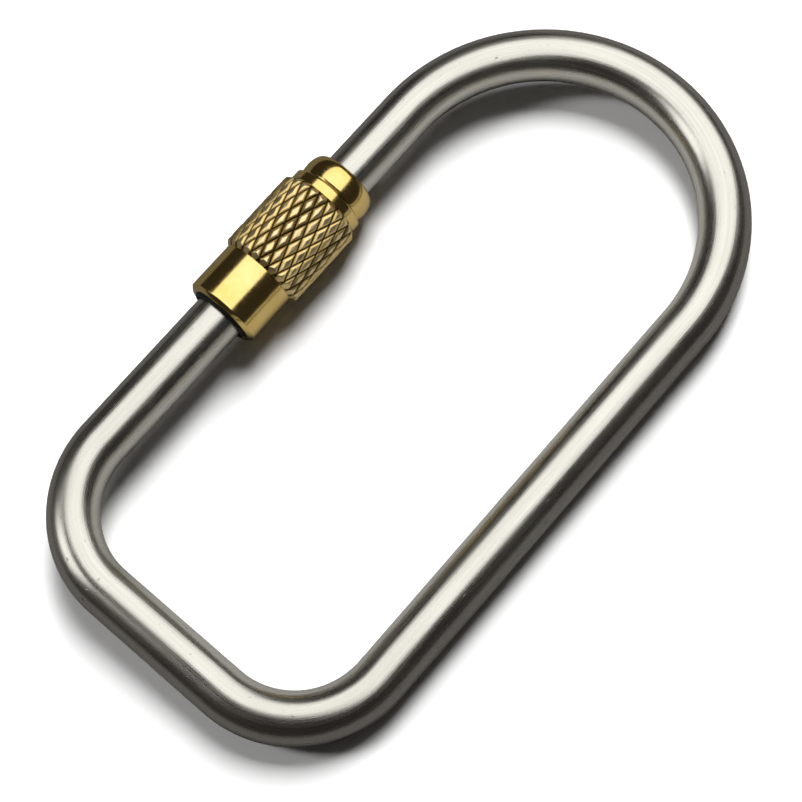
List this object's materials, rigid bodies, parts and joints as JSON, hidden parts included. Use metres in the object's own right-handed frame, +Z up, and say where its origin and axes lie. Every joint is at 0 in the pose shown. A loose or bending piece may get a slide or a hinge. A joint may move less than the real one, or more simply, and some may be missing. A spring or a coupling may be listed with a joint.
{
  "type": "carabiner keyring",
  "caption": "Bent wire keyring loop, one round end and one square end, closed by a knurled brass nut that screws back along the wire.",
  "frame": {"origin": "bottom centre of the whole keyring's bounding box, at the height of the nut's lowest point", "axes": "the loop lies flat in XY; X runs along it with the round end at +X; the nut side is +Y; +Z is up, across the loop"},
  "size_m": [0.06, 0.033, 0.007],
  "materials": {
    "steel_wire": "drawn satin",
    "collar_steel": "turned",
    "black_ring": "matt black",
    "brass": "polished, diamond knurled"
  },
  "bodies": {
    "bow": {"wire_bow": "steel_wire", "stop_collar": "collar_steel"},
    "nut_carrier": {"retaining_ring": "black_ring"},
    "nut": {"barrel_nut": "brass"}
  },
  "joints": [
    {"name": "nut_travel", "type": "slide", "parent": "bow", "child": "nut_carrier", "axis": [-1, 0, 0], "range_m": [0, 0.0077]},
    {"name": "nut_spin", "type": "hinge", "parent": "nut_carrier", "child": "nut", "pos_m": [0.0002, 0.01295, 0.0035], "axis": [-1, 0, 0], "range_deg": [0, 3960]}
  ],
  "couplings": [
    {"joint": "nut_spin", "follows": "nut_travel", "rad_per_m": 8976}
  ]
}
